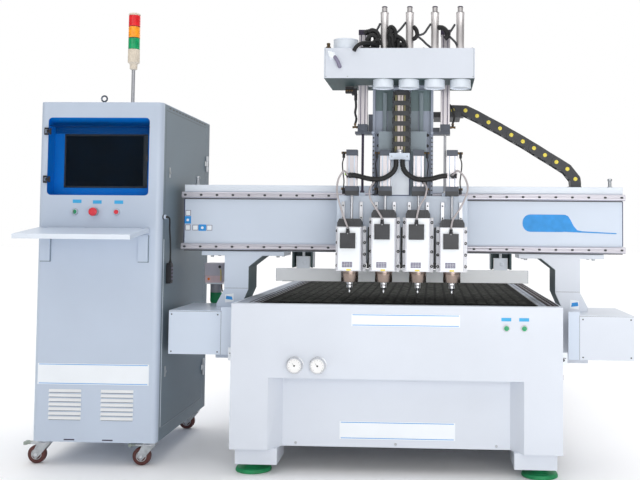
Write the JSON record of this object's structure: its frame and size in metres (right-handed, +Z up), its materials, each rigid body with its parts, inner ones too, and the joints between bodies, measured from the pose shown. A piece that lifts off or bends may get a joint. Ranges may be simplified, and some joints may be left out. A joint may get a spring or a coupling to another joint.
{
  "type": "woodworking machining center",
  "caption": "Gantry machining center for wood: vacuum table, travelling gantry with a row of vertical spindles on a common slide, and a control cabinet on casters.",
  "frame": {"origin": "on the floor, under the middle of the whole machine's box, cabinet included", "axes": "+X to the right as the operator stands at the front, +Y from the operator along the bed, +Z up"},
  "size_m": [2.989, 3.2676, 2.308],
  "materials": {
    "paint": "satin",
    "table": "matte",
    "steel": "satin",
    "aluminium": "satin",
    "green_pad": "satin",
    "gauge": "gloss",
    "green_plastic": "gloss",
    "red_plastic": "gloss",
    "blue_lining": "satin",
    "screen": "gloss",
    "clear_glass": "gloss",
    "lamp": "satin",
    "black_plastic": "matte",
    "black_rubber": "matte",
    "wheel": "satin",
    "pump": "satin",
    "spindle": "satin"
  },
  "bodies": {
    "bed": {"bed_frame": "paint", "vacuum_table": "table", "y_rail_left": "steel", "y_rail_right": "steel", "levelling_foot_front_left": "green_pad", "levelling_foot_front_right": "green_pad", "levelling_foot_rear_left": "green_pad", "levelling_foot_rear_right": "green_pad", "vacuum_gauge_left": "gauge", "vacuum_gauge_right": "gauge"},
    "start_button_left": {"start_button_left": "green_plastic"},
    "start_button_right": {"start_button_right": "green_plastic"},
    "cabinet": {"cabinet_shell": "paint", "monitor_surround": "blue_lining", "monitor": "screen", "tower_light": "lamp"},
    "window_door": {"window_door": "clear_glass"},
    "side_door": {"side_door": "paint", "pendant": "black_plastic", "pendant_cable": "black_rubber"},
    "keyboard_shelf": {"keyboard_shelf": "paint"},
    "key_switch": {"key_switch": "green_plastic"},
    "emergency_stop": {"emergency_stop": "red_plastic"},
    "stop_button": {"stop_button": "red_plastic"},
    "caster_fork_front_left": {"caster_fork_front_left": "steel"},
    "caster_wheel_front_left": {"caster_wheel_front_left": "wheel"},
    "caster_fork_front_right": {"caster_fork_front_right": "steel"},
    "caster_wheel_front_right": {"caster_wheel_front_right": "wheel"},
    "caster_fork_rear_left": {"caster_fork_rear_left": "steel"},
    "caster_wheel_rear_left": {"caster_wheel_rear_left": "wheel"},
    "caster_fork_rear_right": {"caster_fork_rear_right": "steel"},
    "caster_wheel_rear_right": {"caster_wheel_rear_right": "wheel"},
    "gantry": {"gantry_beam": "paint", "x_rail_upper": "steel", "x_rail_lower": "steel", "gantry_leg_left": "paint", "gantry_leg_right": "paint", "drive_box_left": "paint", "drive_box_right": "paint", "y_motor_left": "black_plastic", "y_motor_right": "black_plastic", "oil_pump": "pump", "x_drag_chain": "black_plastic"},
    "push_bar": {"push_bar": "paint"},
    "carriage": {"x_carriage": "paint", "dust_manifold": "paint", "balance_cylinder_left": "aluminium", "balance_cylinder_right": "aluminium", "z_drag_chain": "black_plastic"},
    "z_slide": {"z_slide": "paint", "hose_left": "black_rubber", "hose_right": "black_rubber"},
    "spindle_1": {"spindle_1": "spindle"},
    "tool_1": {"tool_1": "steel"},
    "spindle_2": {"spindle_2": "spindle"},
    "tool_2": {"tool_2": "steel"},
    "spindle_3": {"spindle_3": "spindle"},
    "tool_3": {"tool_3": "steel"},
    "spindle_4": {"spindle_4": "spindle"},
    "tool_4": {"tool_4": "steel"}
  },
  "joints": [
    {"name": "start_button_left_press", "type": "slide", "parent": "bed", "child": "start_button_left", "axis": [0, 1, 0], "range_m": [0, 0.004], "stiffness_N_per_m": 400},
    {"name": "start_button_right_press", "type": "slide", "parent": "bed", "child": "start_button_right", "axis": [0, 1, 0], "range_m": [0, 0.004], "stiffness_N_per_m": 400},
    {"name": "cabinet_roll", "type": "slide", "parent": "bed", "child": "cabinet", "axis": [-1, 0, 0], "range_m": [0, 0.5]},
    {"name": "window_door_hinge", "type": "hinge", "parent": "cabinet", "child": "window_door", "pos_m": [-1.3935, -1.36568, 1.5175], "axis": [0, 0, -1], "range_deg": [0, 110]},
    {"name": "side_door_hinge", "type": "hinge", "parent": "cabinet", "child": "side_door", "pos_m": [-0.814, -0.53278, 0.97], "axis": [0, 0, 1], "range_deg": [0, 2.5]},
    {"name": "keyboard_shelf_fold", "type": "hinge", "parent": "cabinet", "child": "keyboard_shelf", "pos_m": [-1.1505, -1.38518, 1.152], "axis": [1, 0, 0], "range_deg": [0, 76]},
    {"name": "key_switch_turn", "type": "hinge", "parent": "cabinet", "child": "key_switch", "pos_m": [-1.2485, -1.37918, 1.243], "axis": [0, 1, 0], "range_deg": [0, 90]},
    {"name": "emergency_stop_press", "type": "slide", "parent": "cabinet", "child": "emergency_stop", "axis": [0, 1, 0], "range_m": [0, 0.006], "stiffness_N_per_m": 400},
    {"name": "stop_button_press", "type": "slide", "parent": "cabinet", "child": "stop_button", "axis": [0, 1, 0], "range_m": [0, 0.004], "stiffness_N_per_m": 400},
    {"name": "caster_swivel_front_left", "type": "hinge", "parent": "cabinet", "child": "caster_fork_front_left", "pos_m": [-1.3905, -1.29918, 0.106], "axis": [0, 0, 1], "continuous": true},
    {"name": "caster_roll_front_left", "type": "hinge", "parent": "caster_fork_front_left", "child": "caster_wheel_front_left", "pos_m": [-1.4305, -1.29918, 0.045], "axis": [0, 1, 0], "continuous": true},
    {"name": "caster_swivel_front_right", "type": "hinge", "parent": "cabinet", "child": "caster_fork_front_right", "pos_m": [-0.8655, -1.29918, 0.106], "axis": [0, 0, 1], "continuous": true},
    {"name": "caster_roll_front_right", "type": "hinge", "parent": "caster_fork_front_right", "child": "caster_wheel_front_right", "pos_m": [-0.9055, -1.29918, 0.045], "axis": [0, 1, 0], "continuous": true},
    {"name": "caster_swivel_rear_left", "type": "hinge", "parent": "cabinet", "child": "caster_fork_rear_left", "pos_m": [-1.3905, -0.52318, 0.106], "axis": [0, 0, 1], "continuous": true},
    {"name": "caster_roll_rear_left", "type": "hinge", "parent": "caster_fork_rear_left", "child": "caster_wheel_rear_left", "pos_m": [-1.4305, -0.52318, 0.045], "axis": [0, 1, 0], "continuous": true},
    {"name": "caster_swivel_rear_right", "type": "hinge", "parent": "cabinet", "child": "caster_fork_rear_right", "pos_m": [-0.8655, -0.52318, 0.106], "axis": [0, 0, 1], "continuous": true},
    {"name": "caster_roll_rear_right", "type": "hinge", "parent": "caster_fork_rear_right", "child": "caster_wheel_rear_right", "pos_m": [-0.9055, -0.52318, 0.045], "axis": [0, 1, 0], "continuous": true},
    {"name": "gantry_travel", "type": "slide", "parent": "bed", "child": "gantry", "axis": [0, 1, 0], "range_m": [-0.1, 2.3]},
    {"name": "push_bar_drop", "type": "slide", "parent": "gantry", "child": "push_bar", "axis": [0, 0, 1], "range_m": [-0.07, 0]},
    {"name": "carriage_travel", "type": "slide", "parent": "gantry", "child": "carriage", "axis": [1, 0, 0], "range_m": [-0.7, 0.7], "deforming": ["x_drag_chain"]},
    {"name": "z_travel", "type": "slide", "parent": "carriage", "child": "z_slide", "axis": [0, 0, 1], "range_m": [-0.035, 0.16], "deforming": ["z_drag_chain"]},
    {"name": "spindle_1_lift", "type": "slide", "parent": "z_slide", "child": "spindle_1", "axis": [0, 0, 1], "range_m": [0, 0.06]},
    {"name": "tool_1_spin", "type": "hinge", "parent": "spindle_1", "child": "tool_1", "pos_m": [0.11645, -1.36418, 0.9], "axis": [0, 0, 1], "continuous": true},
    {"name": "spindle_2_lift", "type": "slide", "parent": "z_slide", "child": "spindle_2", "axis": [0, 0, 1], "range_m": [0, 0.06]},
    {"name": "tool_2_spin", "type": "hinge", "parent": "spindle_2", "child": "tool_2", "pos_m": [0.28115, -1.36418, 0.9], "axis": [0, 0, 1], "continuous": true},
    {"name": "spindle_3_lift", "type": "slide", "parent": "z_slide", "child": "spindle_3", "axis": [0, 0, 1], "range_m": [0, 0.06]},
    {"name": "tool_3_spin", "type": "hinge", "parent": "spindle_3", "child": "tool_3", "pos_m": [0.44585, -1.36418, 0.9], "axis": [0, 0, 1], "continuous": true},
    {"name": "spindle_4_lift", "type": "slide", "parent": "z_slide", "child": "spindle_4", "axis": [0, 0, 1], "range_m": [0, 0.06]},
    {"name": "tool_4_spin", "type": "hinge", "parent": "spindle_4", "child": "tool_4", "pos_m": [0.61055, -1.36418, 0.9], "axis": [0, 0, 1], "continuous": true}
  ]
}
